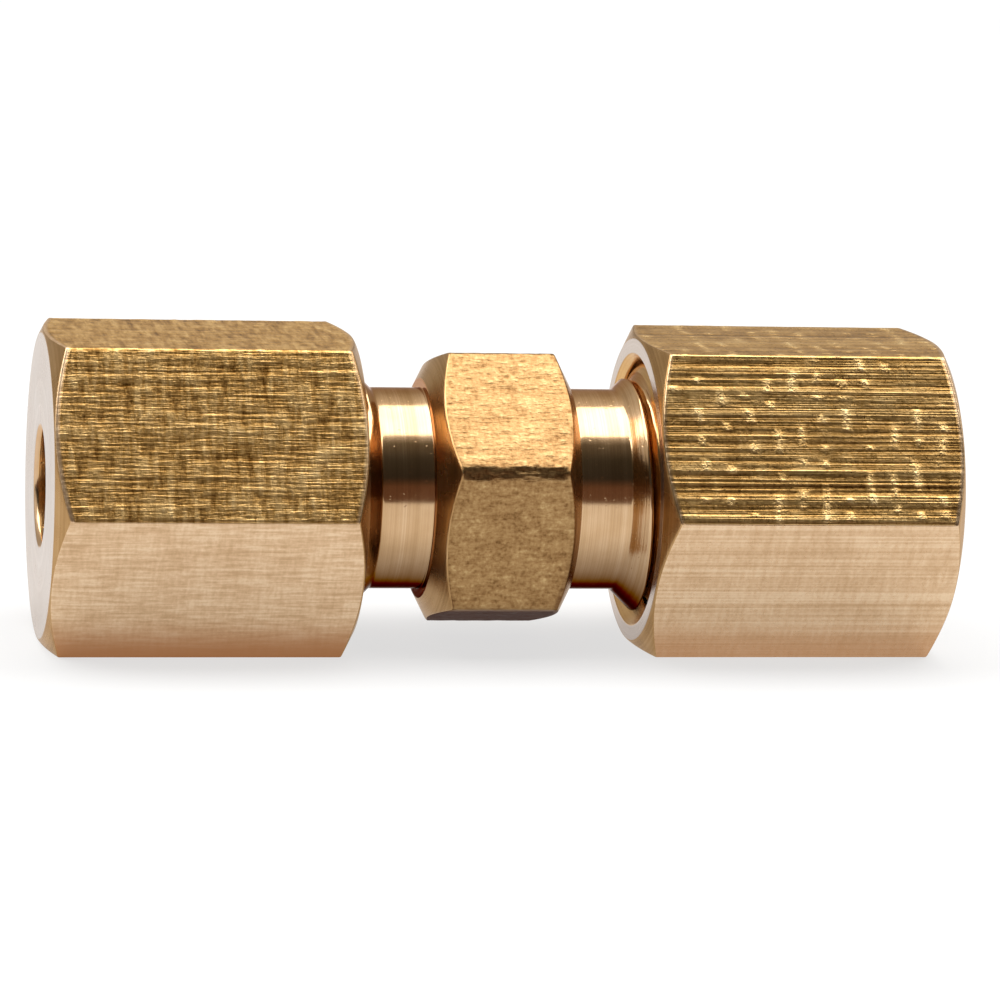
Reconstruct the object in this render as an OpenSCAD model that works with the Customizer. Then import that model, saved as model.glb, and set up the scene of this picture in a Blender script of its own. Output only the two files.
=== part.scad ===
// Straight compression union for small metal tube. A double-ended hexagonal body
// has a threaded end and a conical seat on each side, and each end carries a long
// hexagonal nut over a loose sleeve. Millimetres. X runs along the tube, Z is up,
// and the origin is on the tube's centreline in the middle of the body.

/* [Tube] */
// Outside diameter of the tube that the union joins
tube_d = 3.175; // [2.8:0.005:3.9]
// Radial play of the tube in the body's sockets and in the sleeves
tube_play = 0.03; // [0.01:0.01:0.1]
// Radial play of the tube where it enters a nut
entry_play = 0.2; // [0.16:0.01:0.25]

/* [Body] */
// How much wider the body's hexagon is than the thread, across flats
body_af_over = 0; // [0:0.1:2]
// Length of the hexagon along the tube
body_hex_len = 4.52; // [3:0.01:6]
// Turn of the body's hexagon, from a corner straight up towards -Y
body_turn = 13; // [0:1:59]
// How far the flat ring on each face of the hexagon stays inside the flats
body_face_step = 0.57; // [0.05:0.01:0.7]
// Slope of the hexagon's chamfers, from the faces
body_chamfer = 28; // [15:1:40]
// Wall of the plain necks around the tube
neck_wall = 1.5; // [1.2:0.01:1.6]
// Length of each plain neck
neck_len = 1.6; // [1:0.1:2.5]
// Length of each threaded end, from the neck to the end face
thread_len = 5.14; // [4.2:0.01:7]
// Clear bore between the two tube stops
through_d = 2.4; // [1.6:0.1:2.6]
// Wall between the two tube stops
stop_len = 2.4; // [1:0.1:4]

/* [Seat and sleeve] */
// Slope of the seat and of the sleeve's nose, from the centreline
seat_angle = 24; // [20:1:30]
// How much the seat's mouth is wider than the sleeve, on the radius
seat_margin = 0.15; // [0.05:0.01:0.25]
// Wall of the sleeve
sleeve_wall = 0.83; // [0.6:0.01:0.9]
// Wall of the sleeve at its two end faces
sleeve_end_wall = 0.33; // [0.25:0.01:0.5]
// Length of the sleeve
sleeve_len = 4.8; // [4:0.1:6]
// Gap between the sleeve and each cone that it bears on, finger tight
seat_gap = 0.05; // [0.03:0.01:0.1]

/* [Thread] */
// Major diameter of the thread
thread_d = 7.94; // [7.5:0.01:9.6]
// Threads in an inch
threads_per_inch = 24; // [20:1:28]
// How far past the end of the neck the body's thread starts
thread_lead = 0.3; // [0.1:0.01:0.35]
// Clearance between the two threads, on the flanks and at the crests
thread_play = 0.07; // [0.06:0.01:0.1]

/* [Nut] */
// Wall of the nuts at the middle of a flat, over the thread's major diameter
nut_wall = 0.795; // [0.6:0.005:2]
// Length of each nut
nut_len = 9.5; // [8.5:0.1:12]
// How far the flat ring on each end of a nut stays inside the flats
nut_face_step = 0.065; // [0.03:0.005:0.15]
// Slope of the nuts' chamfers, from the end faces
nut_chamfer = 28; // [15:1:40]
// Countersink at a nut's threaded mouth, beyond the thread's major radius
mouth_sink = 0.28; // [0.15:0.01:0.4]
// Countersink where the tube enters a nut, beyond the hole's radius
entry_sink = 0.12; // [0.06:0.02:0.6]
// Wall at a nut's outer end, along the tube bore
end_wall = 1.31; // [0.8:0.01:2]

/* [Hidden] */

round_sides = 96;         // sides of round stretches in a preview
thread_steps = 36;        // steps in one turn of a thread
lap = 0.5;                // how far a cutting shape runs past the surface it opens
hex_corner = 30;          // from straight up to the first corner of a bar on its flat

// Thread, from the basic profile with 60 degree flanks
pitch = 25.4 / threads_per_inch;
flank = 30;
basic_depth = 5 / 8 * pitch * cos(flank);
crest_half = pitch / 16;
major_r = thread_d / 2;
body_crest_r = major_r - thread_play / 2;
body_root_r = major_r - basic_depth - thread_play / 2;
nut_crest_r = major_r - basic_depth + thread_play;
nut_root_r = major_r + thread_play;
flank_play = thread_play / cos(flank);
thread_reach = 0.08;      // how far a groove's open side stands clear of the crests

// Along the tube, from the middle of the body outwards
neck_end = body_hex_len / 2 + neck_len;
body_end = neck_end + thread_len;
bore_r = tube_d / 2 + tube_play;
neck_r = bore_r + neck_wall;
shoulder_end = neck_end + body_crest_r - neck_r;
end_chamfer = body_crest_r - body_root_r;
thread_start = neck_end + thread_lead;
body_af = thread_d + body_af_over;
sleeve_r = bore_r + sleeve_wall;
sleeve_end_r = bore_r + sleeve_end_wall;
seat_r = sleeve_r + seat_margin;
seat_start = body_end - (seat_r - bore_r) / tan(seat_angle);

// The sleeve's nose stands in the seat, and the nut's inner cone bears on its tail
nose_x = seat_start + (sleeve_end_r - bore_r) / tan(seat_angle) + seat_gap / sin(seat_angle);
tail_x = nose_x + sleeve_len;
nose_len = (sleeve_r - sleeve_end_r) / tan(seat_angle);
tail_len = sleeve_r - sleeve_end_r;

entry_r = tube_d / 2 + entry_play;
cone_end = tail_x + sleeve_end_r - entry_r + seat_gap * sqrt(2);
cone_start = cone_end - (nut_crest_r - entry_r);
nut_outer = cone_end + end_wall;
nut_inner = nut_outer - nut_len;
nut_thread_end = cone_start - pitch / 4;
nut_af = thread_d + 2 * nut_wall;
mouth_r = major_r + mouth_sink;

brass = "#d2ab62";
pale_brass = "#dcc083";
sleeve_brass = "#c79a4e";

// Half the width of a thread's rib at radius r
function rib_half(r) = crest_half + (major_r - r) * tan(flank);

// Turns the outline [along, radius] round the X axis
module turned(outline)
  rotate([0, 90, 0]) rotate_extrude($fn = round_sides)
    polygon([for (p = outline) [p[1], p[0]]]);

// Hexagonal bar along X, lying on a flat. The corners of its end faces are turned
// down, which leaves a flat ring that stays face_step inside the flats.
module hex_bar(af, x0, x1, face_step, slope) {
  corner_r = af / sqrt(3);
  face_r = af / 2 - face_step;
  fall = (corner_r + lap - face_r) * tan(slope);
  intersection() {
    translate([x0, 0, 0]) rotate([0, 90, 0]) rotate(90) cylinder(r = corner_r, h = x1 - x0, $fn = 6);
    turned([[x0, 0], [x0, face_r], [x0 + fall, corner_r + lap],
            [x1 - fall, corner_r + lap], [x1, face_r], [x1, 0]]);
  }
}

// Helical groove with flat flanks, right-handed along +X, that starts at x0. The
// section is half_open wide each way at radius open_r, and half_deep at deep_r.
module thread_groove(x0, length, open_r, half_open, deep_r, half_deep) {
  steps = ceil(length / pitch * thread_steps);
  section = [[-half_open, open_r], [-half_deep, deep_r], [half_deep, deep_r], [half_open, open_r]];
  points = [for (i = [0 : steps], q = section)
    let (turn = 360 * i / thread_steps)
    [x0 + pitch * i / thread_steps + q[0], q[1] * cos(turn), q[1] * sin(turn)]];
  sides = [for (i = [0 : steps - 1], k = [0 : 3])
    let (a = 4 * i + k, b = 4 * i + (k + 1) % 4)
    each [[a, b, b + 4], [a, b + 4, a + 4]]];
  first_end = [3, 2, 1, 0];
  last_end = [for (k = [0 : 3]) 4 * steps + k];
  faces = concat([first_end], sides, [last_end]);
  outward = deep_r > open_r;
  polyhedron(points, outward ? faces : [for (f = faces) [for (k = [len(f) - 1 : -1 : 0]) f[k]]],
             convexity = 10);
}

// Both ends of the body are alike: the second is the first turned about Z, so its
// thread is right-handed too
module both_ends() {
  children();
  rotate(180) children();
}

// Neck, shoulder and threaded end before the thread is cut
module body_end_blank() turned([
  [0, 0], [0, neck_r], [neck_end, neck_r], [shoulder_end, body_crest_r],
  [body_end - end_chamfer, body_crest_r], [body_end, body_root_r], [body_end, 0]]);

// Through bore, tube socket and conical seat
module body_passage() turned([
  [-lap, 0], [-lap, through_d / 2], [stop_len / 2, through_d / 2], [stop_len / 2, bore_r],
  [seat_start, bore_r], [body_end + lap, seat_r + lap * tan(seat_angle)], [body_end + lap, 0]]);

module body_thread()
  thread_groove(thread_start, thread_len + pitch, body_crest_r + thread_reach,
                pitch / 2 - rib_half(body_crest_r + thread_reach),
                body_root_r, pitch / 2 - rib_half(body_root_r));

module union_body() color(pale_brass) difference() {
  union() {
    rotate([body_turn - hex_corner, 0, 0])
      hex_bar(body_af, -body_hex_len / 2, body_hex_len / 2, body_face_step, body_chamfer);
    both_ends() body_end_blank();
  }
  both_ends() body_passage();
  both_ends() body_thread();
}

// Loose sleeve with a long taper at its nose and a short one at its tail
module sleeve() color(sleeve_brass) turned([
  [nose_x, bore_r], [nose_x, sleeve_end_r], [nose_x + nose_len, sleeve_r],
  [tail_x - tail_len, sleeve_r], [tail_x, sleeve_end_r], [tail_x, bore_r]]);

// Countersunk mouth, tapping bore, inner cone and tube bore of a nut
module nut_passage() turned([
  [nut_inner - lap, 0], [nut_inner - lap, mouth_r + lap],
  [nut_inner + mouth_r - nut_crest_r, nut_crest_r], [cone_start, nut_crest_r],
  [cone_end, entry_r], [nut_outer - entry_sink, entry_r],
  [nut_outer + lap, entry_r + entry_sink + lap], [nut_outer + lap, 0]]);

// The nut's groove is half a pitch from the body's, so it lies on the body's ribs
module nut_thread() {
  first_turns = floor((thread_start - nut_inner) / pitch + 2);
  start = thread_start + pitch / 2 - first_turns * pitch;
  open_r = nut_crest_r - thread_reach;
  thread_groove(start, nut_thread_end - start, open_r, rib_half(open_r) + flank_play,
                nut_root_r, rib_half(nut_root_r) + flank_play);
}

module nut() color(brass) difference() {
  hex_bar(nut_af, nut_inner, nut_outer, nut_face_step, nut_chamfer);
  nut_passage();
  nut_thread();
}

module left_sleeve() rotate(180) sleeve();
module right_sleeve() sleeve();
module left_nut() rotate(180) nut();
module right_nut() nut();

union_body();
left_sleeve();
right_sleeve();
left_nut();
right_nut();
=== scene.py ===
import math
import bpy
import numpy as np
from mathutils import Matrix, Vector


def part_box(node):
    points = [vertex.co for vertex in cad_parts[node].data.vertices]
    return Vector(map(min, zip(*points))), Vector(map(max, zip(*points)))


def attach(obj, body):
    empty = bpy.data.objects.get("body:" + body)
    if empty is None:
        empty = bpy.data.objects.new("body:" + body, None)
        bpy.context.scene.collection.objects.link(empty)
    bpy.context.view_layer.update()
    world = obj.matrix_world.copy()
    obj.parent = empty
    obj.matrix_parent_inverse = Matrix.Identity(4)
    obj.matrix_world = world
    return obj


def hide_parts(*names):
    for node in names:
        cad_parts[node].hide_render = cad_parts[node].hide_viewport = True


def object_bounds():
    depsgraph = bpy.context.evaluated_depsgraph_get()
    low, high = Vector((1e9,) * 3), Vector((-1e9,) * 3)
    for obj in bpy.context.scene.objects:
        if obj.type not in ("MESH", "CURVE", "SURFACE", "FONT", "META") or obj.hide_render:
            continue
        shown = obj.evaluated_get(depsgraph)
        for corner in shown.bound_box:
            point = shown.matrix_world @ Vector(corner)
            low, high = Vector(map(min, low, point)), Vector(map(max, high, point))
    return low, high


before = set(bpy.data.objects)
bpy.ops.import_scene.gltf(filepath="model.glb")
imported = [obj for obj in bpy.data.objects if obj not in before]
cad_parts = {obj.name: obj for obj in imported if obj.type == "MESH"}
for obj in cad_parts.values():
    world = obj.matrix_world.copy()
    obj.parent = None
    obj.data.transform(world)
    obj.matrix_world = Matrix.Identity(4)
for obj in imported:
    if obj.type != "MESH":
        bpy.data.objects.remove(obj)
cad_low, cad_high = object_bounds()

MM = 0.001
TURN = 2.0 * math.pi

# The thread: a 60 degree profile, 24 threads to the inch, with crests an eighth of a
# pitch wide at the major radius. Each side's own crest and root leave it some play
PITCH = 25.4 * MM / 24.0
CREST_HALF = PITCH / 16.0
FLANK_RISE = math.tan(math.radians(30.0))
MAJOR_R = 3.97 * MM
BODY_CREST_R = 3.935 * MM
BODY_ROOT_R = 3.362 * MM
NUT_CREST_R = 3.467 * MM
NUT_ROOT_R = 4.04 * MM
NUT_FLANK_PLAY = 0.0808 * MM

# Places along the axis from the middle of the body: the end of its neck, the start of
# its thread, and the deep end of a nut's thread
NECK_END = 3.86 * MM
THREAD_START = 4.16 * MM
NUT_THREAD_END = 10.75 * MM

# Bore that the tube slides into, in the body and in the sleeves
TUBE_BORE_R = 1.6175 * MM

# Hexagons: half the length of the body's, the slope of the chamfers, and how far
# inside the flats the edge of each end face is
HALF_HEX = 2.26 * MM
CHAMFER_SLOPE = math.tan(math.radians(28.0))
NUT_FACE_STEP = 0.065 * MM
BODY_FACE_STEP = 0.57 * MM

# Points round each piece
NUT_SIDES = 384
BODY_SIDES = 288
SLEEVE_SIDES = 160

# Places on the parabola that rounds a corner of an outline
CORNER_STEPS = (0.0, 0.34, 0.67)

# Rows of random heights behind each grain, and columns too
LATTICE = 512

# Numbers of each finish in a piece's list of materials
DRAWN = 0
TURNED = 1
BORED = 2
CHAMFERED = 3
FACED = 4

# The bars that the two nuts are cut from. Cells are cells of grain to the mm, across
# and along the bar, heights and steps are in mm, and the rest are shares of 1. The last
# share is painted shade: how far the lowest flats are darkened towards brown
FINE_BAR = {
    "groove_cells": (5.6, 3.2),
    "groove_height": 0.0015,
    "chatter_cells": (1.9, 6.0),
    "chatter_height": 0.008,
    "chatter_tone": 0.45,
    "nick_step": 0.5,
    "nicks": 0.2,
    "painted_shade": 0.95,
}
COARSE_BAR = {
    "groove_cells": (4.6, 0.04),
    "groove_height": 0.014,
    "chatter_cells": (1.1, 3.6),
    "chatter_height": 0.004,
    "chatter_tone": 0.1,
    "nick_step": 0.75,
    "nicks": 1.0,
    "painted_shade": 0.65,
}

# Cells of each pattern in the finishes, to the metre
DRAW_LINES = 9500.0
BROAD_LINES = 3600.0
CHATTER_BARS = 6000.0
SPECKS = 9000.0
TOOL_RINGS = 14000.0
WIDE_RINGS = 2600.0
FLECKS = 7000.0
CLOUD = 900.0
BOARD_MOTTLE = 60.0


# ---------------------------------------------------------------- numbers

def smoothstep(low, high, value):
    """0 below low, 1 above high, and 3t^2 - 2t^3 between them."""
    share = np.clip((value - low) / (high - low), 0.0, 1.0)
    return share * share * (3.0 - 2.0 * share)


def grain(across, along, seed):
    """Smooth noise from -1 to 1: random heights on a square lattice, blended with
    the smoothstep of the place inside each cell."""
    heights = np.random.default_rng(seed).uniform(-1.0, 1.0, (LATTICE, LATTICE))
    a_cell = np.floor(across).astype(int)
    b_cell = np.floor(along).astype(int)
    a_part = across - a_cell
    b_part = along - b_cell
    a_part = a_part * a_part * (3.0 - 2.0 * a_part)
    b_part = b_part * b_part * (3.0 - 2.0 * b_part)
    a_0 = a_cell % LATTICE
    a_1 = (a_cell + 1) % LATTICE
    b_0 = b_cell % LATTICE
    b_1 = (b_cell + 1) % LATTICE
    near = heights[a_0, b_0] * (1.0 - b_part) + heights[a_0, b_1] * b_part
    far = heights[a_1, b_0] * (1.0 - b_part) + heights[a_1, b_1] * b_part
    return near * (1.0 - a_part) + far * a_part


def ring_angles(count, first_corner, pull):
    """count angles round the X axis, drawn together towards the six corners of a
    hexagon: angle = even angle - pull * sin(6 * even angle) / 6."""
    even = TURN * np.arange(count) / count
    return first_corner + even - pull * np.sin(6.0 * even) / 6.0


def hexagon_radius(angles, first_corner, half_af, sharpness):
    """Distance from the axis to a hexagon with rounded corners: half the width
    across flats over the p-norm of the cosines to its six flats."""
    flats = first_corner + math.radians(30.0) + np.arange(6) * TURN / 6.0
    cosines = np.clip(np.cos(angles[None, :] - flats[:, None]), 0.0, 1.0)
    return half_af / np.sum(cosines ** sharpness, axis=0) ** (1.0 / sharpness)


def place_on_flat(angles, radii, first_corner):
    """Number of the flat that each angle is on, and the place across that flat."""
    turned = (angles - first_corner) % TURN
    flat = np.floor(turned / (TURN / 6.0)).astype(int) % 6
    middle = flat * TURN / 6.0 + TURN / 12.0
    return flat, radii * np.sin(turned - middle)


# ---------------------------------------------------------------- outlines

class Outline:
    """A closed outline in the half plane through the axis. Each station is a place
    along the axis and a radius, and either may change with the angle. A corner is
    the parabola that starts and ends 'ease' away from its station."""

    def __init__(self, angles):
        self.angles = angles
        self.stations = []

    def to(self, along, radius, ease=0.03, parts=4, finish=TURNED):
        """Adds a station, with its ease in mm. parts, the number of rings, and finish
        belong to the run that follows it. Gives the number of that run."""
        zeros = np.zeros_like(self.angles)
        place = np.stack([zeros + along, zeros + radius], axis=-1)
        self.stations.append((place, ease * MM, parts, finish))
        return len(self.stations) - 1

    def rings(self):
        """The places along and the radii of all rings, the finish of each ring, and
        the run that each is on, which is -1 in a corner."""
        rings = []
        finishes = []
        runs = []
        count = len(self.stations)
        for k in range(count):
            here, ease, parts, finish = self.stations[k]
            before = self.stations[k - 1][0]
            after, next_ease, _, _ = self.stations[(k + 1) % count]
            start = here + towards(here, after, ease)
            stop = after + towards(after, here, next_ease)
            back = here + towards(here, before, ease)
            corner_steps = CORNER_STEPS if ease > 0.0 else ()
            for step in corner_steps:
                rest = 1.0 - step
                corner = rest * rest * back + 2.0 * rest * step * here + step * step * start
                rings.append(corner)
                finishes.append(self.stations[k - 1][3] if step < 0.5 else finish)
                runs.append(-1)
            for step in np.arange(parts) / parts:
                rings.append(start + (stop - start) * step)
                finishes.append(finish)
                runs.append(k)
        places = np.stack(rings)
        return places[..., 0], places[..., 1], np.array(finishes), np.array(runs)


def towards(here, there, distance):
    """The step from here towards there of that length, and never over 0.4 of the way."""
    way = there - here
    length = np.maximum(np.linalg.norm(way, axis=-1, keepdims=True), 1e-9)
    return way / length * np.minimum(distance, 0.4 * length)


def male_thread(along, angles):
    """Radius of the body's right-handed thread. The place along the axis less a pitch
    for each turn gives the distance to the middle of the groove; the radius falls from
    the crest at the slope of the flank, and is held between the crest and the root. The
    first groove deepens from nothing over its first sixth of a turn."""
    turned = angles % TURN
    turns = (along - THREAD_START) / PITCH - turned / TURN
    lap = np.maximum(np.round(turns), 0.0)
    to_rib = PITCH / 2.0 - np.abs(turns - lap) * PITCH
    reach = MAJOR_R - (to_rib - CREST_HALF) / FLANK_RISE
    reach = np.clip(reach, BODY_ROOT_R, BODY_CREST_R)
    begun = smoothstep(0.0, TURN / 6.0, turned + lap * TURN)
    return BODY_CREST_R + (reach - BODY_CREST_R) * begun


def female_thread(along, angles):
    """Radius of a nut's thread, the same profile half a pitch on, so that its grooves
    lie over the body's ribs with play on the flanks."""
    turns = (along - THREAD_START) / PITCH - 0.5 - angles / TURN
    to_groove = np.abs(turns - np.round(turns)) * PITCH
    reach = MAJOR_R - (to_groove - CREST_HALF - NUT_FLANK_PLAY) / FLANK_RISE
    return np.clip(reach, NUT_CREST_R, NUT_ROOT_R)


# ---------------------------------------------------------------- surfaces

def turned_surface(name, along, radii, angles, finishes, relief, marks, flip):
    """A closed ring of rings: the point at ring i and angle j is
    (along, radius cos angle, radius sin angle), moved by relief along its normal.
    marks are values from 0 to 1 that the finishes read by name. flip turns the whole
    piece half round Z, for the left end."""
    cosines = np.cos(angles)[None, :]
    sines = np.sin(angles)[None, :]
    points = np.stack([along, radii * cosines, radii * sines], axis=-1)
    ring_way = np.roll(points, -1, axis=0) - np.roll(points, 1, axis=0)
    side_way = np.roll(points, -1, axis=1) - np.roll(points, 1, axis=1)
    normals = np.cross(side_way, ring_way)
    lengths = np.linalg.norm(normals, axis=-1, keepdims=True)
    normals = normals / np.maximum(lengths, 1e-18)
    points = points + normals * relief[..., None]
    if flip:
        points = points * np.array([-1.0, -1.0, 1.0])
    rings, sides = along.shape
    ring = np.arange(rings)[:, None]
    side = np.arange(sides)[None, :]
    next_ring = (ring + 1) % rings
    next_side = (side + 1) % sides
    corners = [
        ring * sides + side,
        ring * sides + next_side,
        next_ring * sides + next_side,
        next_ring * sides + side,
    ]
    faces = np.stack(corners, axis=-1).reshape(-1, 4)
    mesh = bpy.data.meshes.new(name)
    mesh.vertices.add(rings * sides)
    mesh.vertices.foreach_set("co", points.reshape(-1))
    mesh.loops.add(faces.size)
    mesh.loops.foreach_set("vertex_index", faces.reshape(-1))
    mesh.polygons.add(len(faces))
    mesh.polygons.foreach_set("loop_start", np.arange(len(faces)) * 4)
    mesh.polygons.foreach_set("material_index", np.repeat(finishes, sides))
    mesh.update(calc_edges=True)
    mesh.polygons.foreach_set("use_smooth", np.ones(len(faces), bool))
    for title, values in marks.items():
        mark = mesh.attributes.new(title, "FLOAT", "POINT")
        mark.data.foreach_set("value", values.reshape(-1).astype(np.float32))
    mesh.validate()
    piece = bpy.data.objects.new(name, mesh)
    bpy.context.scene.collection.objects.link(piece)
    return piece


def hand_over(piece, node, body, finishes):
    """Gives the piece its materials, its body and the node it stands for."""
    for finish in finishes:
        piece.data.materials.append(finish)
    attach(piece, body)
    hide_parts(node)


# ---------------------------------------------------------------- pieces

def nut_relief(along, radii, angles, on_bar, bar, seed):
    """Heights on the drawn flats of a nut, in metres, never above the flat, and the
    marks that its finish reads. There are long straight draw grooves, chatter bars
    across them, and columns of small nicks. Each flat has its own stretch of grain,
    and the three flats below are nearly smooth."""
    flat, across = place_on_flat(angles[None, :] + 0.0 * along, radii, 0.0)
    lane = across / MM + flat * 37.0
    run = along / MM + flat * 11.0
    groove_lanes, groove_runs = bar["groove_cells"]
    chatter_lanes, chatter_runs = bar["chatter_cells"]
    grooves = grain(lane * groove_lanes, run * groove_runs, seed)
    chatter = grain(lane * chatter_lanes, run * chatter_runs, seed + 1)
    blotch = grain(lane * 2.2, run * 2.2, seed + 2)
    column = run / bar["nick_step"] + 0.25 * grain(lane * 0.8, run * 0.3, seed + 3)
    in_column = np.exp(-((column - np.round(column)) * 5.8) ** 2)
    chance = grain(lane * 4.2, np.round(column) * 7.3, seed + 4)
    nicks = in_column * smoothstep(0.1, 0.4, chance) * bar["nicks"]
    heights = grooves * bar["groove_height"] + chatter * bar["chatter_height"]
    heights = heights + blotch * 0.003 + nicks * 0.004
    sink = 0.012
    rough = np.where(flat >= 3, 0.0, 1.0) * on_bar
    heights = np.minimum(heights - sink, 0.0) * (0.1 * on_bar + 0.9 * rough)
    tone = 0.5 + 0.25 * grooves + bar["chatter_tone"] * chatter + 0.15 * blotch
    marks = {"rough": rough, "tone": np.clip(tone, 0.0, 1.0), "nick": nicks * rough}
    return heights * MM, marks


def nut_outline(angles, inner, outer, hexagon, face_r, fall):
    """Once round the section of a nut: its inner face, the drawn flats, its outer face,
    then back through the tube's hole, the cone and the thread. Gives the outline, the
    number of its drawn run, and the numbers of its two tapped runs."""
    mouth_r = 4.25 * MM
    cone_start = 11.014 * MM
    cone_end = 12.694 * MM
    entry_r = 1.7875 * MM
    entry_chamfer = 0.12 * MM
    outline = Outline(angles)
    outline.to(inner, mouth_r, 0.03, 6, FACED)
    outline.to(inner, face_r, 0.03, 3, CHAMFERED)
    bar_run = outline.to(inner + fall, hexagon, 0.06, 96, DRAWN)
    outline.to(outer - fall, hexagon, 0.06, 3, CHAMFERED)
    outline.to(outer, face_r, 0.04, 12, FACED)
    outline.to(outer, entry_r + entry_chamfer, 0.04, 2)
    outline.to(outer - entry_chamfer, entry_r, 0.04, 7, BORED)
    outline.to(cone_end, entry_r, 0.03, 6, BORED)
    outline.to(cone_start, NUT_CREST_R, 0.03, 2, BORED)
    deep_run = outline.to(NUT_THREAD_END, NUT_CREST_R, 0.0, 78, BORED)
    lead_run = outline.to(inner + mouth_r - NUT_CREST_R, NUT_CREST_R, 0.0, 8, BORED)
    return outline, bar_run, (deep_run, lead_run)


def make_nut(name, node, side, seed, bar, finishes):
    """A long hexagon nut: chamfered hexagon outside, countersunk tapped mouth, an
    inner cone that bears on the sleeve, and the hole that the tube enters by."""
    low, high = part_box(node)
    inner = min(abs(low.x), abs(high.x))
    outer = max(abs(low.x), abs(high.x))
    half_af = (high.z - low.z) / 2.0
    face_r = half_af - NUT_FACE_STEP
    angles = ring_angles(NUT_SIDES, 0.0, pull=0.55)
    hexagon = hexagon_radius(angles, 0.0, half_af, sharpness=190.0)
    fall = (hexagon - face_r) * CHAMFER_SLOPE
    outline, bar_run, tapped_runs = nut_outline(angles, inner, outer, hexagon, face_r, fall)
    along, radii, kinds, runs = outline.rings()
    run_out = 0.5 * MM
    edge_fade = 0.12 * MM
    fade = smoothstep(NUT_THREAD_END, NUT_THREAD_END - run_out, along)
    cut = NUT_CREST_R + (female_thread(along, angles[None, :]) - NUT_CREST_R) * fade
    tapped = np.isin(runs, tapped_runs)[:, None]
    radii = np.where(tapped, np.maximum(radii, cut), radii)
    edge = np.minimum(along - inner - fall, outer - fall - along)
    on_bar = np.where(runs[:, None] == bar_run, smoothstep(0.0, edge_fade, edge), 0.0)
    heights, marks = nut_relief(along, radii, angles, on_bar, bar, seed)
    level = radii * np.sin(angles)[None, :] / half_af
    # Painted shade: the lowest part of the nut turns brown, by the bar's share
    marks["painted_shade"] = bar["painted_shade"] * smoothstep(-0.66, -0.98, level)
    flip = side < 0
    piece = turned_surface(name, along, radii, angles, kinds, heights, marks, flip)
    hand_over(piece, node, node, finishes)


def body_outline(angles, end, hexagon, face_r, fall):
    """Once round the section of the body: from the bore over the left end to the
    hexagon, the same stations mirrored over the right end, and back through the
    narrower middle of the bore. Gives the outline and the number of its drawn run."""
    neck_r = 3.1175 * MM
    shoulder_end = NECK_END + BODY_CREST_R - neck_r
    chamfer = BODY_CREST_R - BODY_ROOT_R
    seat_r = 2.5975 * MM
    seat_start = 6.799 * MM
    through_r = 1.2 * MM
    stop_half = 1.2 * MM
    end_walk = [
        (seat_start, TUBE_BORE_R, 0.05, 8, TURNED),
        (end, seat_r, 0.03, 4, TURNED),
        (end, BODY_ROOT_R, 0.0, 9, TURNED),
        (end - chamfer, BODY_CREST_R, 0.0, 52, BORED),
        (shoulder_end, BODY_CREST_R, 0.0, 16, TURNED),
        (NECK_END, neck_r, 0.06, 9, TURNED),
        (HALF_HEX, neck_r, 0.03, 3, TURNED),
        (HALF_HEX, face_r, 0.04, 5, CHAMFERED),
        (HALF_HEX - fall, hexagon, 0.08, 44, DRAWN),
    ]
    outline = Outline(angles)
    outline.to(-stop_half, TUBE_BORE_R, 0.04, 6, BORED)
    for place, radius, ease, parts, finish in end_walk:
        bar_run = outline.to(-place, radius, ease, parts, finish)
    for k in range(len(end_walk) - 1, -1, -1):
        place, radius, ease, _, _ = end_walk[k]
        parts, finish = end_walk[k - 1][3:] if k > 0 else (6, BORED)
        outline.to(place, radius, ease, parts, finish)
    outline.to(stop_half, TUBE_BORE_R, 0.04, 3, BORED)
    outline.to(stop_half, through_r, 0.04, 5, BORED)
    outline.to(-stop_half, through_r, 0.04, 3, BORED)
    return outline, bar_run


def worn_edge(radii, angles, on_bar, corner, corner_r, ragged):
    """Radii with one corner of the hexagon rubbed down to a narrow facet. The facet
    is worn_to / cos(angle - corner), and ragged moves it in and out a little."""
    worn_to = corner_r - (0.115 + 0.022 * ragged) * MM
    facet = worn_to / np.maximum(np.cos(angles - corner), 0.5)[None, :]
    return np.where(on_bar > 0.0, np.minimum(radii, facet), radii)


def body_painted_shade(radii, angles, on_hex, corner_r):
    """The share of painted shade, darker and browner towards the bottom: on the ends it
    grows as the surface turns to face down, on the hexagon it covers only what is
    lowest, and in the bore there is none."""
    turned_down = np.sin(angles)[None, :] + 0.0 * radii
    under_ends = smoothstep(-0.3, -1.0, turned_down)
    under_hex = smoothstep(-0.66, -0.74, radii * turned_down / corner_r)
    beneath = np.where(on_hex, under_hex, under_ends)
    return 0.85 * np.where(radii > BODY_ROOT_R * 0.9, beneath, 0.0)


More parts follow.
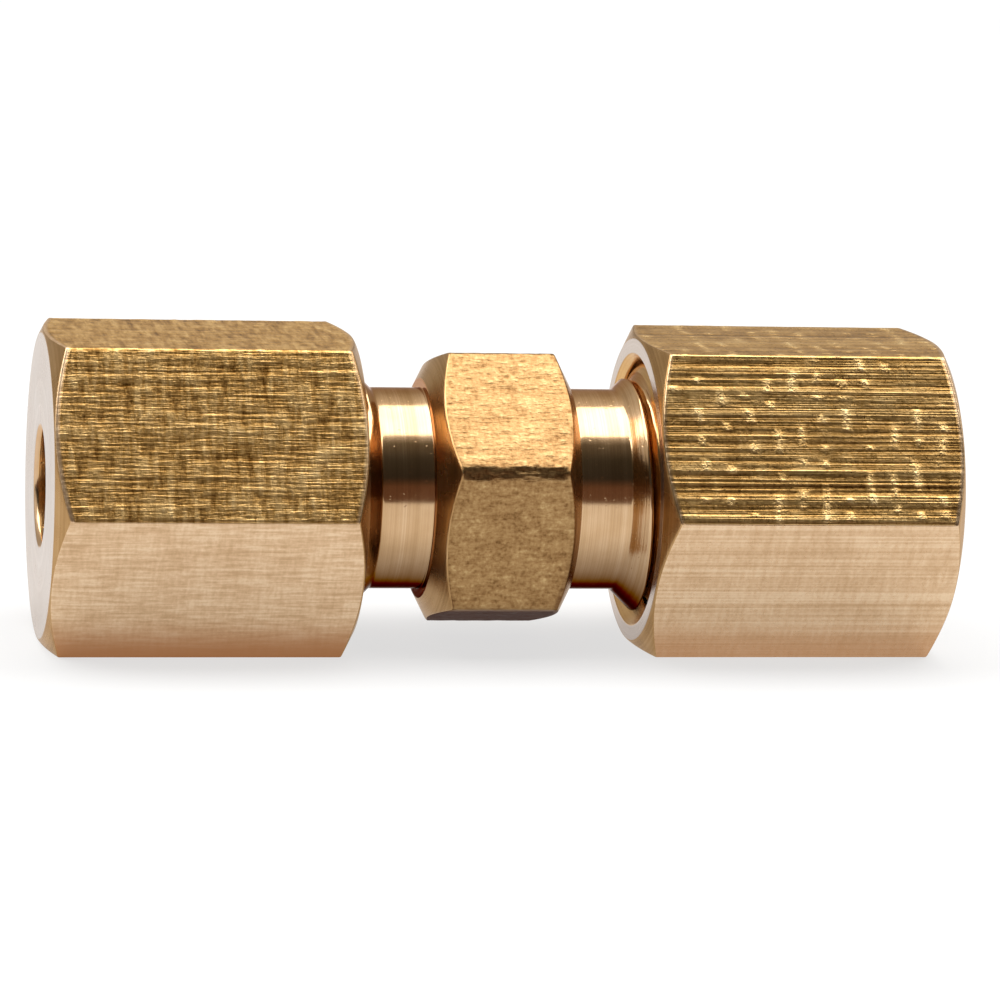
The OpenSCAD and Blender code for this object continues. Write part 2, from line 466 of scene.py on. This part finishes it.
def make_body(name, node, seed, finishes):
    """The double-ended body: a worn hexagon between two plain necks, a shoulder, a
    thread and a chamfer on each end, and through it a stepped bore that opens into
    a conical seat at each mouth. Its highest corner leans a little to the front."""
    _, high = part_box(node)
    first_corner = math.radians(43.0)
    front_corner = first_corner + 2.0 * TURN / 6.0
    top_lean = first_corner + TURN / 6.0 - TURN / 4.0
    corner_r = high.z / math.cos(top_lean)
    half_af = corner_r * math.cos(TURN / 12.0)
    face_r = half_af - BODY_FACE_STEP
    edge_fade = 0.15 * MM
    angles = ring_angles(BODY_SIDES, first_corner, pull=0.4)
    hexagon = hexagon_radius(angles, first_corner, half_af, sharpness=80.0)
    fall = (hexagon - face_r) * CHAMFER_SLOPE
    outline, bar_run = body_outline(angles, high.x, hexagon, face_r, fall)
    along, radii, kinds, runs = outline.rings()
    mirrored = np.where(along < 0.0, math.pi - angles[None, :], angles[None, :])
    outside = (np.abs(along) > NECK_END) & (radii > BODY_ROOT_R * 0.999)
    radii = np.where(outside, np.minimum(radii, male_thread(np.abs(along), mirrored)), radii)
    on_hex = runs[:, None] == bar_run
    edge = HALF_HEX - fall - np.abs(along)
    on_bar = np.where(on_hex, smoothstep(0.0, edge_fade, edge), 0.0)
    flat, across = place_on_flat(angles[None, :] + 0.0 * along, radii, first_corner)
    lane = across / MM + flat * 29.0
    run = along / MM + flat * 13.0 + 300.0
    blotch = grain(lane * 1.6, run * 1.6, seed)
    pits = grain(lane * 5.5, run * 5.5, seed + 1)
    ragged = grain(lane * 4.0, run * 3.5, seed + 2) + 0.6 * grain(lane * 9.0, run * 8.0, seed + 3)
    radii = worn_edge(radii, angles, on_bar, front_corner, corner_r, ragged)
    heights = np.minimum(blotch * 0.004 + pits * 0.006 - 0.004, 0.0) * on_bar * MM
    marks = {
        "rough": on_bar,
        "tone": np.clip(0.5 + 0.08 * blotch + 0.2 * pits, 0.0, 1.0),
        "nick": 0.0 * on_bar,
        # Painted shade on the undersides of the body
        "painted_shade": body_painted_shade(radii, angles, on_hex, corner_r),
    }
    piece = turned_surface(name, along, radii, angles, kinds, heights, marks, False)
    hand_over(piece, node, node, finishes)


def make_sleeve(name, node, side, seed, finishes):
    """A loose sleeve: straight bore, a long taper at its nose and a short one at its
    tail, with fine tool rings round it."""
    low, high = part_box(node)
    nose = min(abs(low.x), abs(high.x))
    tail = max(abs(low.x), abs(high.x))
    sleeve_r = (high.z - low.z) / 2.0
    end_r = 1.9475 * MM
    nose_slope = math.tan(math.radians(24.0))
    nose_len = (sleeve_r - end_r) / nose_slope
    angles = TURN * np.arange(SLEEVE_SIDES) / SLEEVE_SIDES
    outline = Outline(angles)
    outline.to(nose, TUBE_BORE_R, 0.03, 3)
    outline.to(nose, end_r, 0.03, 10)
    outline.to(nose + nose_len, sleeve_r, 0.04, 40)
    outline.to(tail - (sleeve_r - end_r), sleeve_r, 0.04, 8)
    outline.to(tail, end_r, 0.04, 4)
    outline.to(tail, TUBE_BORE_R, 0.04, 30, BORED)
    along, radii, kinds, _ = outline.rings()
    tool_rings = grain(radii / MM * 9.0, along / MM * 9.0, seed)
    outside = np.where(radii > TUBE_BORE_R * 1.02, 1.0, 0.0)
    heights = np.minimum(tool_rings, 0.0) * 0.004 * MM * outside
    flip = side < 0
    piece = turned_surface(name, along, radii, angles, kinds, heights, {}, flip)
    hand_over(piece, node, node, finishes)


# ---------------------------------------------------------------- finishes

def start_material(name, roughness, glance=(0.89, 0.81, 0.71)):
    """A new material, metal to begin with, its nodes, links and shader, and the
    coordinates that its patterns read. glance is the tint of its reflections at a low
    angle, which on brass are a little browner."""
    material = bpy.data.materials.new(name)
    material.use_nodes = True
    nodes = material.node_tree.nodes
    shader = nodes["Principled BSDF"]
    shader.inputs["Metallic"].default_value = 1.0
    shader.inputs["Roughness"].default_value = roughness
    shader.inputs["Specular Tint"].default_value = (*glance, 1.0)
    place = nodes.new("ShaderNodeTexCoord")
    return material, nodes, material.node_tree.links, shader, place.outputs["Object"]


def stretched(nodes, links, place, scale):
    """Coordinates multiplied by a scale in each direction."""
    mapping = nodes.new("ShaderNodeMapping")
    mapping.inputs["Scale"].default_value = scale
    links.new(place, mapping.inputs["Vector"])
    return mapping.outputs["Vector"]


def noise(nodes, links, place, scale, detail, rough=0.5):
    """Noise whose cells are 1 / scale of the coordinates."""
    texture = nodes.new("ShaderNodeTexNoise")
    texture.inputs["Scale"].default_value = scale
    texture.inputs["Detail"].default_value = detail
    texture.inputs["Roughness"].default_value = rough
    links.new(place, texture.inputs["Vector"])
    return texture.outputs["Fac"]


def ramp(nodes, links, value, stops):
    """Colours along a value, from stops of a position and a colour."""
    band = nodes.new("ShaderNodeValToRGB")
    points = band.color_ramp.elements
    while len(points) < len(stops):
        points.new(0.5)
    for point, (position, colour) in zip(points, stops):
        point.position = position
        point.color = (*colour, 1.0)
    links.new(value, band.inputs["Fac"])
    return band.outputs["Color"]


def sum_of(nodes, links, parts):
    """Weighted sum of values."""
    total = None
    for value, weight in parts:
        step = nodes.new("ShaderNodeMath")
        step.operation = "MULTIPLY_ADD"
        step.inputs[1].default_value = weight
        links.new(value, step.inputs[0])
        if total is None:
            step.inputs[2].default_value = 0.0
        else:
            links.new(total, step.inputs[2])
        total = step.outputs[0]
    return total


def spread(nodes, links, value, low, high):
    """Value from 0 to 1 made to run from low to high."""
    change = nodes.new("ShaderNodeMapRange")
    change.inputs["To Min"].default_value = low
    change.inputs["To Max"].default_value = high
    links.new(value, change.inputs["Value"])
    return change.outputs["Result"]


def bump(nodes, links, shader, height, depth):
    """Small relief from a height that runs from 0 to 1, depth metres deep."""
    relief = nodes.new("ShaderNodeBump")
    relief.inputs["Strength"].default_value = 1.0
    relief.inputs["Distance"].default_value = depth
    links.new(height, relief.inputs["Height"])
    links.new(relief.outputs["Normal"], shader.inputs["Normal"])


def axis_radius(nodes, links, place):
    """Coordinates (along the axis, distance from the axis, 0)."""
    parts = nodes.new("ShaderNodeSeparateXYZ")
    links.new(place, parts.inputs["Vector"])
    flat = nodes.new("ShaderNodeCombineXYZ")
    links.new(parts.outputs["Y"], flat.inputs["Y"])
    links.new(parts.outputs["Z"], flat.inputs["Z"])
    length = nodes.new("ShaderNodeVectorMath")
    length.operation = "LENGTH"
    links.new(flat.outputs["Vector"], length.inputs[0])
    both = nodes.new("ShaderNodeCombineXYZ")
    links.new(parts.outputs["X"], both.inputs["X"])
    links.new(length.outputs["Value"], both.inputs["Y"])
    return both.outputs["Vector"]


def attribute(nodes, title):
    """A value that the piece carries on its points."""
    mark = nodes.new("ShaderNodeAttribute")
    mark.attribute_name = title
    return mark.outputs["Fac"]


def product(nodes, links, one, other):
    """Two values multiplied."""
    step = nodes.new("ShaderNodeMath")
    step.operation = "MULTIPLY"
    links.new(one, step.inputs[0])
    links.new(other, step.inputs[1])
    return step.outputs[0]


def blend_of(nodes, links, share, first, second):
    """first where share is 0, second where it is 1."""
    mix = nodes.new("ShaderNodeMix")
    mix.data_type = "RGBA"
    links.new(share, mix.inputs["Factor"])
    links.new(first, mix.inputs["A"])
    links.new(second, mix.inputs["B"])
    return mix.outputs["Result"]


def painted_shade(nodes, links, shader, colour, brown, glance):
    """Gives the shader the colour, turned to brown where the piece's mark calls for painted
    shade on its undersides, and the same for the tint at a low angle."""
    mark = attribute(nodes, "painted_shade")
    shade_colour = nodes.new("ShaderNodeRGB")
    shade_colour.outputs["Color"].default_value = (*brown, 1.0)
    edge = nodes.new("ShaderNodeRGB")
    edge.outputs["Color"].default_value = (*glance, 1.0)
    links.new(blend_of(nodes, links, mark, colour, shade_colour.outputs["Color"]),
              shader.inputs["Base Color"])
    links.new(blend_of(nodes, links, mark, edge.outputs["Color"], shade_colour.outputs["Color"]),
              shader.inputs["Specular Tint"])


def drawn_brass(name, tones, smooth_tones, stretch, chatter, grit, roughness, depth, brown):
    """Bar straight from the drawing die: fine lines along X, crossed by short chatter
    marks, dark in the grooves and bright where it is rubbed. Where the mark called
    rough is 0 the bar is smooth, with faint hatching. stretch is how little the lines
    change along X, chatter and grit are how strong the bars and the specks are."""
    material, nodes, links, shader, place = start_material(name, roughness)
    drawn_out = stretched(nodes, links, place, (stretch, 1.0, 1.0))
    drawn_further = stretched(nodes, links, place, (stretch * 0.6, 1.0, 1.0))
    crossways = stretched(nodes, links, place, (1.0, 0.16, 0.16))
    lines = noise(nodes, links, drawn_out, DRAW_LINES, 3.0, 0.6)
    broad = noise(nodes, links, drawn_further, BROAD_LINES, 2.0)
    bars = noise(nodes, links, crossways, CHATTER_BARS, 3.0, 0.6)
    specks = noise(nodes, links, place, SPECKS, 3.0, 0.6)
    cloud = noise(nodes, links, place, CLOUD, 3.0)
    rough = attribute(nodes, "rough")
    nick = product(nodes, links, attribute(nodes, "nick"), specks)
    weights = [0.34, 0.2, 0.26 * chatter, grit, 0.24]
    share = 1.06 / sum(weights)
    values = [lines, broad, bars, specks, attribute(nodes, "tone")]
    parts = [(value, weight * share) for value, weight in zip(values, weights)]
    tone = sum_of(nodes, links, parts + [(nick, 0.3)])
    soft = sum_of(nodes, links, [(lines, 0.45), (bars, 0.2), (specks, 0.2), (cloud, 0.15)])
    colour = blend_of(
        nodes, links, rough,
        ramp(nodes, links, soft, smooth_tones),
        ramp(nodes, links, tone, tones))
    # Painted shade: brown mixed in where the piece marks its undersides
    painted_shade(nodes, links, shader, colour, brown, WARM_GLANCE)
    links.new(spread(nodes, links, specks, roughness - 0.08, roughness + 0.12),
              shader.inputs["Roughness"])
    height = sum_of(nodes, links, [
        (lines, 0.9), (broad, 0.9), (bars, 0.45 * chatter), (specks, 0.5 * grit + 0.15), (nick, 0.9)])
    height = product(nodes, links, height, spread(nodes, links, rough, 0.16, 1.0))
    bump(nodes, links, shader, height, depth)
    return material


def turned_brass(name, tones, roughness, depth, glance, brown=None):
    """Lathe-turned brass: fine rings round the axis on cylinders and faces alike, from
    noise of the place along the axis and the distance from it. With a brown, the parts
    of the piece that are marked for painted shade turn to it."""
    material, nodes, links, shader, place = start_material(name, roughness, glance)
    rings = axis_radius(nodes, links, place)
    fine = noise(nodes, links, rings, TOOL_RINGS, 3.0, 0.6)
    wide = noise(nodes, links, rings, WIDE_RINGS, 2.0)
    cloud = noise(nodes, links, place, CLOUD, 3.0)
    flecks = ramp(nodes, links, noise(nodes, links, place, FLECKS, 2.0),
                  [(0.68, (0.0, 0.0, 0.0)), (0.76, (1.0, 1.0, 1.0))])
    tone = sum_of(nodes, links, [(fine, 0.4), (wide, 0.35), (cloud, 0.25)])
    stops = list(zip((0.36, 0.5, 0.64), tones))
    colour = ramp(nodes, links, tone, stops)
    # Painted shade: brown mixed in where the piece marks its undersides
    if brown:
        painted_shade(nodes, links, shader, colour, brown, glance)
    else:
        links.new(colour, shader.inputs["Base Color"])
    links.new(spread(nodes, links, cloud, roughness - 0.05, roughness + 0.08),
              shader.inputs["Roughness"])
    height = sum_of(nodes, links, [(fine, 0.7), (wide, 0.5), (flecks, -0.8)])
    bump(nodes, links, shader, height, depth)
    return material


def pale_floor(name):
    """Matt white board that also glows a little, as a light table does."""
    material, nodes, links, shader, place = start_material(name, 0.9)
    shader.inputs["Metallic"].default_value = 0.0
    shader.inputs["Specular IOR Level"].default_value = 0.0
    mottle = noise(nodes, links, place, BOARD_MOTTLE, 2.0)
    colour = ramp(nodes, links, mottle, [(0.3, (0.205, 0.205, 0.205)), (0.7, (0.235, 0.235, 0.235))])
    links.new(colour, shader.inputs["Base Color"])
    shader.inputs["Emission Color"].default_value = (1.0, 1.0, 1.0, 1.0)
    shader.inputs["Emission Strength"].default_value = 0.69
    return material


# ---------------------------------------------------------------- studio

def make_floor():
    """A round board with its top at the lowest flats of the nuts."""
    count = 96
    radius = 3.0
    thickness = 4.0 * MM
    top = cad_low.z
    angles = TURN * np.arange(count) / count
    rim = np.stack([np.cos(angles), np.sin(angles), 0.0 * angles], axis=-1) * radius
    upper = rim + np.array([0.0, 0.0, top])
    lower = rim + np.array([0.0, 0.0, top - thickness])
    sides = [[k, count + k, count + (k + 1) % count, (k + 1) % count] for k in range(count)]
    faces = [list(range(count)), list(range(2 * count - 1, count - 1, -1))] + sides
    mesh = bpy.data.meshes.new("floor")
    mesh.from_pydata(np.concatenate([upper, lower]).tolist(), [], faces)
    board = bpy.data.objects.new("floor", mesh)
    bpy.context.scene.collection.objects.link(board)
    board.data.materials.append(pale_floor("pale_board"))


def make_front_flag():
    """A dim brown board that stands low in front of the part, and shows only in its
    reflections."""
    front = -50.0 * MM
    half = 400.0 * MM
    base = cad_low.z
    top = 12.0 * MM
    corners = [(-half, front, base), (half, front, base), (half, front, top), (-half, front, top)]
    mesh = bpy.data.meshes.new("front_flag")
    mesh.from_pydata(corners, [], [(0, 1, 2, 3)])
    flag = bpy.data.objects.new("front_flag", mesh)
    bpy.context.scene.collection.objects.link(flag)
    material, _, _, shader, _ = start_material("dark_flag", 0.9)
    shader.inputs["Metallic"].default_value = 0.0
    shader.inputs["Base Color"].default_value = (0.02, 0.01, 0.006, 1.0)
    shader.inputs["Emission Color"].default_value = (0.13, 0.062, 0.036, 1.0)
    shader.inputs["Emission Strength"].default_value = 1.0
    mesh.materials.append(material)
    flag.visible_camera = False
    flag.visible_diffuse = False
    flag.visible_shadow = False


def area_light(name, place, aim, wide, deep, radiance):
    """A white soft box: its power is pi times its area times its radiance."""
    lamp = bpy.data.lights.new(name, "AREA")
    lamp.shape = "RECTANGLE"
    lamp.size = wide
    lamp.size_y = deep
    lamp.energy = math.pi * wide * deep * radiance
    holder = bpy.data.objects.new(name, lamp)
    bpy.context.scene.collection.objects.link(holder)
    holder.location = place
    way = Vector(aim) - Vector(place)
    holder.rotation_mode = "QUATERNION"
    holder.rotation_quaternion = way.to_track_quat("-Z", "Y")
    holder.visible_camera = False


# Light of the room by the angle from straight up in degrees, + towards the front,
# over a band that ends SKY_EDGE degrees either way
SKY_EDGE = 100.0
SKY_LIGHT = [
    (-90.0, (0.54, 0.52, 0.48)),
    (-60.0, (0.54, 0.52, 0.48)),
    (-30.0, (1.0, 0.98, 0.94)),
    (18.0, (0.60, 0.58, 0.54)),
    (26.0, (0.16, 0.14, 0.11)),
    (45.0, (0.06, 0.055, 0.045)),
    (68.0, (0.04, 0.035, 0.03)),
    (76.0, (0.14, 0.075, 0.045)),
    (90.0, (0.18, 0.12, 0.09)),
]


def make_sky():
    """The room: its light goes by the angle from straight up towards the front, warm
    and dim in front and brighter behind."""
    world = bpy.data.worlds.new("studio")
    bpy.context.scene.world = world
    world.use_nodes = True
    nodes = world.node_tree.nodes
    links = world.node_tree.links
    back = nodes["Background"]
    place = nodes.new("ShaderNodeTexCoord")
    parts = nodes.new("ShaderNodeSeparateXYZ")
    links.new(place.outputs["Generated"], parts.inputs["Vector"])
    angle = nodes.new("ShaderNodeMath")
    angle.operation = "ARCTAN2"
    links.new(parts.outputs["Y"], angle.inputs[0])
    links.new(parts.outputs["Z"], angle.inputs[1])
    share = nodes.new("ShaderNodeMapRange")
    share.inputs["From Min"].default_value = math.radians(SKY_EDGE)
    share.inputs["From Max"].default_value = math.radians(-SKY_EDGE)
    links.new(angle.outputs["Value"], share.inputs["Value"])
    stops = []
    for degrees, light in SKY_LIGHT:
        stops.append(((degrees + SKY_EDGE) / (2.0 * SKY_EDGE), light))
    colour = ramp(nodes, links, share.outputs["Result"], stops)
    links.new(colour, back.inputs["Color"])
    back.inputs["Strength"].default_value = 1.0


def make_camera():
    """A long lens from the front, a little from the left and from above."""
    lens = bpy.data.cameras.new("camera")
    lens.sensor_width = 36.0
    lens.lens = 184.7
    lens.clip_start = 0.005
    lens.clip_end = 20.0
    holder = bpy.data.objects.new("camera", lens)
    bpy.context.scene.collection.objects.link(holder)
    azimuth = math.radians(-10.871)
    elevation = math.radians(11.182)
    roll = math.radians(2.447)
    distance = 159.64 * MM
    target = Vector((0.345 * MM, 0.0, -0.369 * MM))
    back = Vector((
        math.sin(azimuth) * math.cos(elevation),
        -math.cos(azimuth) * math.cos(elevation),
        math.sin(elevation)))
    right = Vector((math.cos(azimuth), math.sin(azimuth), 0.0))
    up = back.cross(right)
    tilted_right = right * math.cos(roll) + up * math.sin(roll)
    tilted_up = up * math.cos(roll) - right * math.sin(roll)
    turn = Matrix((tilted_right, tilted_up, back)).transposed()
    holder.matrix_world = Matrix.Translation(target + back * distance) @ turn.to_4x4()
    bpy.context.scene.camera = holder


# ---------------------------------------------------------------- making

make_camera()
make_floor()
make_sky()
make_front_flag()
area_light(
    "overhead_box", place=(0.0, 0.045, 0.4), aim=(0.0, 0.0, 0.0), wide=1.3, deep=0.34, radiance=3.6)
bpy.context.scene.view_settings.view_transform = "Standard"

# Colours of the rough flats from the bottoms of the grooves to the rubbed tops
GROOVED = [
    (0.38, (0.17, 0.075, 0.014)),
    (0.50, (0.50, 0.28, 0.085)),
    (0.62, (0.77, 0.50, 0.20)),
    (0.78, (0.90, 0.67, 0.34)),
]
WORN = [
    (0.38, (0.13, 0.060, 0.020)),
    (0.48, (0.28, 0.155, 0.060)),
    (0.58, (0.40, 0.245, 0.105)),
    (0.74, (0.68, 0.50, 0.24)),
]
SMOOTH = [(0.40, (0.57, 0.37, 0.205)), (0.50, (0.70, 0.48, 0.29)), (0.60, (0.82, 0.61, 0.40))]

# Dark, middle and light tones of what is cut on the lathe
TURNED_TONES = [(0.50, 0.31, 0.16), (0.60, 0.39, 0.22), (0.70, 0.49, 0.31)]
NECK_TONES = [(0.46, 0.285, 0.14), (0.57, 0.37, 0.20), (0.69, 0.48, 0.29)]
BORED_TONES = [(0.46, 0.27, 0.10), (0.62, 0.37, 0.15), (0.76, 0.50, 0.24)]
# Chamfers: a darker, browner copy of the turned tones, as painted shade
SHADED_CHAMFER_TONES = [(0.32, 0.18, 0.07), (0.44, 0.26, 0.11), (0.56, 0.36, 0.18)]
FACED_TONES = [(0.47, 0.36, 0.28), (0.53, 0.42, 0.34), (0.59, 0.48, 0.40)]

# Browns painted on the undersides as shade
DEEP_SHADE_BROWN = (0.44, 0.20, 0.085)
LIGHT_SHADE_BROWN = (0.56, 0.28, 0.13)
DARK_SHADE_BROWN = (0.10, 0.036, 0.018)

# Tints of the reflections at a low angle
WARM_GLANCE = (0.89, 0.80, 0.70)
DULL_GLANCE = (0.66, 0.47, 0.38)
WHITE_GLANCE = (0.97, 0.97, 0.97)

left_bar = drawn_brass(
    "drawn_brass_left", GROOVED, SMOOTH, stretch=0.08, chatter=2.4, grit=0.3,
    roughness=0.34, depth=0.030 * MM, brown=DEEP_SHADE_BROWN)
right_bar = drawn_brass(
    "drawn_brass_right", GROOVED, SMOOTH, stretch=0.006, chatter=0.4, grit=0.2,
    roughness=0.28, depth=0.037 * MM, brown=LIGHT_SHADE_BROWN)
body_bar = drawn_brass(
    "worn_brass_body", WORN, WORN, stretch=0.3, chatter=0.5, grit=0.5,
    roughness=0.31, depth=0.020 * MM, brown=DARK_SHADE_BROWN)
neck = turned_brass("turned_brass_neck", NECK_TONES, 0.12, 0.004 * MM, DULL_GLANCE, DARK_SHADE_BROWN)
turned = turned_brass("turned_brass", TURNED_TONES, 0.14, 0.004 * MM, WARM_GLANCE)
bored = turned_brass("bored_brass", BORED_TONES, 0.2, 0.006 * MM, WARM_GLANCE)
chamfered = turned_brass("chamfered_brass", SHADED_CHAMFER_TONES, 0.26, 0.005 * MM, WARM_GLANCE)
faced = turned_brass("faced_brass", FACED_TONES, 0.24, 0.003 * MM, WHITE_GLANCE)
finishes = [left_bar, turned, bored, chamfered, faced]

make_body("union_body_brass", "union_body", 11, [body_bar, neck] + finishes[2:])
make_nut("left_nut_brass", "left_nut", -1, 21, FINE_BAR, finishes)
make_nut("right_nut_brass", "right_nut", 1, 31, COARSE_BAR, [right_bar] + finishes[1:])
make_sleeve("left_sleeve_brass", "left_sleeve", -1, 41, finishes)
make_sleeve("right_sleeve_brass", "right_sleeve", 1, 51, finishes)
